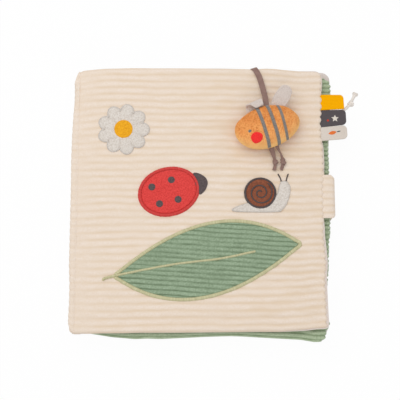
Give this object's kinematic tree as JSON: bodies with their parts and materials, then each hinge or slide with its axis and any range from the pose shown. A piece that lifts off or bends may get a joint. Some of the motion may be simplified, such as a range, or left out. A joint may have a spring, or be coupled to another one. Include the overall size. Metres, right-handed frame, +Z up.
{
  "type": "activity book",
  "caption": "padded cloth activity book in ribbed corduroy with garden appliques, fore-edge tabs, a pull cord, a closing strap and a stuffed bee on a ribbon",
  "frame": {"origin": "on the flat outer face of the back cover, under the middle of the front cover", "axes": "+Z up out of the front cover, +X from the spine to the fore-edge, +Y to the top edge of the pages; the book is closed and lies on its back cover"},
  "size_m": [0.2389, 0.2277, 0.049],
  "materials": {
    "cream_corduroy": "wide-wale cotton corduroy",
    "green_corduroy": "medium-wale cotton corduroy",
    "lining_cotton": "plain woven cotton",
    "page_cream": "plain woven cotton",
    "page_sage": "plain woven cotton",
    "wadding": "polyester wadding",
    "hook_and_loop": "hook-and-loop tape",
    "yellow_cloth": "ribbed jersey",
    "charcoal_cloth": "plain woven cotton",
    "pale_cloth": "short fleece",
    "white_cord": "braided cotton cord",
    "sage_satin": "satin-stitch thread",
    "red_cloth": "short fleece",
    "brown_cloth": "felt",
    "orange_plush": "short plush",
    "grey_velvet": "velvet strip",
    "wing_cloth": "soft jersey",
    "taupe_ribbon": "woven grosgrain ribbon"
  },
  "bodies": {
    "back_cover": {"back_cover_corduroy": "cream_corduroy", "back_cover_lining": "lining_cotton", "back_cover_wadding": "wadding", "back_cover_loop_patch": "hook_and_loop"},
    "spine": {"spine_corduroy": "cream_corduroy", "spine_lining": "lining_cotton", "spine_wadding": "wadding"},
    "leaf_1": {"leaf_1_front": "page_cream", "leaf_1_back": "lining_cotton", "leaf_1_wadding": "wadding"},
    "leaf_2": {"leaf_2_front": "page_sage", "leaf_2_back": "lining_cotton", "leaf_2_wadding": "wadding"},
    "leaf_3": {"leaf_3_front": "lining_cotton", "leaf_3_back": "lining_cotton", "leaf_3_wadding": "wadding"},
    "leaf_4": {"leaf_4_front": "green_corduroy", "leaf_4_back": "lining_cotton", "leaf_4_wadding": "wadding"},
    "front_cover": {"front_cover_corduroy": "cream_corduroy", "front_cover_lining": "lining_cotton", "front_cover_wadding": "wadding", "yellow_tab": "yellow_cloth", "charcoal_tab": "charcoal_cloth", "pale_tab": "pale_cloth", "pull_cord": "white_cord", "pull_cord_knot": "white_cord", "leaf_patch": "green_corduroy", "leaf_patch_border": "sage_satin", "leaf_patch_vein": "sage_satin", "ladybird_patch": "red_cloth", "ladybird_border": "red_cloth", "ladybird_head": "charcoal_cloth", "ladybird_spot_1": "charcoal_cloth", "ladybird_spot_2": "charcoal_cloth", "ladybird_spot_3": "charcoal_cloth", "ladybird_spot_4": "charcoal_cloth", "daisy_petals": "pale_cloth", "daisy_centre": "yellow_cloth", "snail_body": "pale_cloth", "snail_shell": "brown_cloth", "snail_shell_border": "charcoal_cloth", "bee_ribbon_back": "taupe_ribbon"},
    "strap": {"closing_strap": "cream_corduroy", "strap_hook_patch": "hook_and_loop"},
    "bee": {"bee_body": "orange_plush", "bee_stripe_1": "grey_velvet", "bee_stripe_2": "grey_velvet", "bee_stripe_3": "grey_velvet", "bee_cheek": "red_cloth", "bee_eye": "charcoal_cloth", "bee_ribbon_front": "taupe_ribbon"},
    "right_wing": {"bee_right_wing": "wing_cloth"},
    "left_wing": {"bee_left_wing": "wing_cloth"},
    "left_leg": {"bee_left_leg": "taupe_ribbon"},
    "right_leg": {"bee_right_leg": "taupe_ribbon"}
  },
  "joints": [
    {"name": "spine_turn", "type": "hinge", "parent": "back_cover", "child": "spine", "pos_m": [-0.1015, 0, 0.0025], "axis": [0, -1, 0], "range_deg": [0, 86]},
    {"name": "cover_turn", "type": "hinge", "parent": "spine", "child": "front_cover", "pos_m": [-0.1015, 0, 0.0283], "axis": [0, -1, 0], "range_deg": [0, 86]},
    {"name": "leaf_1_turn", "type": "hinge", "parent": "spine", "child": "leaf_1", "pos_m": [-0.0965, 0, 0.0076], "axis": [0, -1, 0], "range_deg": [-52, 0]},
    {"name": "leaf_2_turn", "type": "hinge", "parent": "spine", "child": "leaf_2", "pos_m": [-0.0965, 0, 0.0124], "axis": [0, -1, 0], "range_deg": [-17.5, 0]},
    {"name": "leaf_3_turn", "type": "hinge", "parent": "spine", "child": "leaf_3", "pos_m": [-0.0965, 0, 0.0172], "axis": [0, -1, 0], "range_deg": [0, 17.5]},
    {"name": "leaf_4_turn", "type": "hinge", "parent": "spine", "child": "leaf_4", "pos_m": [-0.0965, 0, 0.022], "axis": [0, -1, 0], "range_deg": [0, 52]},
    {"name": "strap_lift", "type": "hinge", "parent": "front_cover", "child": "strap", "pos_m": [0.1053, 0.0013, 0.0283], "axis": [0, -1, 0], "range_deg": [0, 95]},
    {"name": "bee_lift", "type": "hinge", "parent": "front_cover", "child": "bee", "pos_m": [0.048, 0.10675, 0.0323], "axis": [-1, 0, 0], "range_deg": [0, 170]},
    {"name": "right_wing_flap", "type": "hinge", "parent": "bee", "child": "right_wing", "pos_m": [0.0651, 0.0763, 0.0409], "axis": [0.8832, -0.4691, 0], "range_deg": [0, 40]},
    {"name": "left_wing_flap", "type": "hinge", "parent": "bee", "child": "left_wing", "pos_m": [0.0525, 0.0762, 0.0411], "axis": [-0.3911, 0.9203, 0], "range_deg": [0, 35]},
    {"name": "left_leg_lift", "type": "hinge", "parent": "bee", "child": "left_leg", "pos_m": [0.0606, 0.0405, 0.0357], "axis": [-0.9798, -0.2, 0], "range_deg": [0, 30]},
    {"name": "right_leg_lift", "type": "hinge", "parent": "bee", "child": "right_leg", "pos_m": [0.0658, 0.0417, 0.0357], "axis": [-0.9292, -0.3697, 0], "range_deg": [0, 30]}
  ],
  "couplings": [
    {"joint": "cover_turn", "follows": "spine_turn", "ratio": 1},
    {"joint": "leaf_1_turn", "follows": "spine_turn", "ratio": -0.6},
    {"joint": "leaf_2_turn", "follows": "spine_turn", "ratio": -0.2},
    {"joint": "leaf_3_turn", "follows": "spine_turn", "ratio": 0.2},
    {"joint": "leaf_4_turn", "follows": "spine_turn", "ratio": 0.6}
  ]
}
